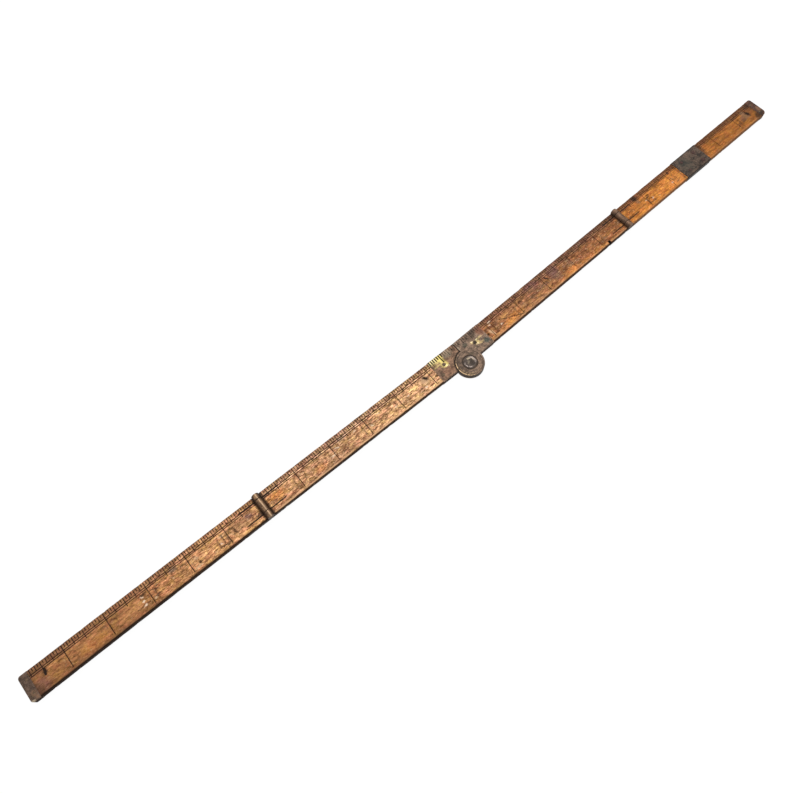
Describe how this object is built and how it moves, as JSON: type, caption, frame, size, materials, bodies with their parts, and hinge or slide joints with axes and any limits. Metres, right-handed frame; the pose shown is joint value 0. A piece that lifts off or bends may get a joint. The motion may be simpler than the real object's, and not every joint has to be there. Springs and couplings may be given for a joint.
{
  "type": "folding rule",
  "caption": "Old two-foot folding carpenter's rule in boxwood with brass joints, opened out flat, its legs folding at two barrel hinges and a round main joint.",
  "frame": {"origin": "axis of the main joint's pivot on the rule's underside", "axes": "+X along the rule towards the leg with the repair band, +Z out of the scale face, +Y towards the graduated edge"},
  "size_m": [0.6093, 0.0363, 0.0074],
  "materials": {
    "boxwood_far_left": "old varnished boxwood, mid brown, worn and dirty along the scale",
    "boxwood_left": "old boxwood, varnish worn to a paler pinkish tan",
    "boxwood_right": "old varnished boxwood, browner with grey dirt",
    "boxwood_far_right": "old varnished boxwood, golden amber",
    "joint_brass": "dull patinated brass, worn bright in places",
    "barrel_brass": "dark patinated brass",
    "tip_brass": "dark patinated brass, worn at the corners",
    "rivet_brass": "patinated brass wire, filed flush",
    "pivot_metal": "patinated brass with worn bright rim",
    "band_sheet": "thin iron sheet, dark grey-brown",
    "rusty_nail": "small rusted nail heads"
  },
  "bodies": {
    "outer_left": {"outer_leg_left": "boxwood_far_left", "tip_cap_left": "tip_brass", "tip_pins_left": "rivet_brass", "left_hinge_outer_leaf": "barrel_brass", "left_hinge_pin": "barrel_brass", "left_hinge_outer_rivets": "rivet_brass"},
    "inner_left": {"inner_leg_left": "boxwood_left", "left_hinge_inner_leaf": "barrel_brass", "left_hinge_inner_rivets": "rivet_brass", "joint_tongue": "joint_brass", "tongue_top_plate": "joint_brass", "tongue_bottom_plate": "joint_brass", "tongue_side_rivets": "rivet_brass"},
    "inner_right": {"inner_leg_right": "boxwood_right", "right_hinge_inner_leaf": "barrel_brass", "right_hinge_pin": "barrel_brass", "right_hinge_inner_rivets": "rivet_brass", "joint_top_cheek": "joint_brass", "joint_bottom_cheek": "joint_brass", "cheek_side_rivets": "rivet_brass", "pivot_rivet": "pivot_metal"},
    "outer_right": {"outer_leg_right": "boxwood_far_right", "tip_cap_right": "tip_brass", "tip_pins_right": "rivet_brass", "right_hinge_outer_leaf": "barrel_brass", "right_hinge_outer_rivets": "rivet_brass", "repair_band": "band_sheet", "repair_nails": "rusty_nail"}
  },
  "joints": [
    {"name": "main_fold", "type": "hinge", "parent": "inner_left", "child": "inner_right", "pos_m": [0, 0, 0], "axis": [0, 0, -1], "range_deg": [0, 182]},
    {"name": "left_fold", "type": "hinge", "parent": "inner_left", "child": "outer_left", "pos_m": [-0.1527, 0.00835, 0.00475], "axis": [0, 1, 0], "range_deg": [0, 180]},
    {"name": "right_fold", "type": "hinge", "parent": "inner_right", "child": "outer_right", "pos_m": [0.15232, 0.01367, 0.00475], "axis": [0.0349, -0.9994, 0], "range_deg": [0, 180]}
  ]
}
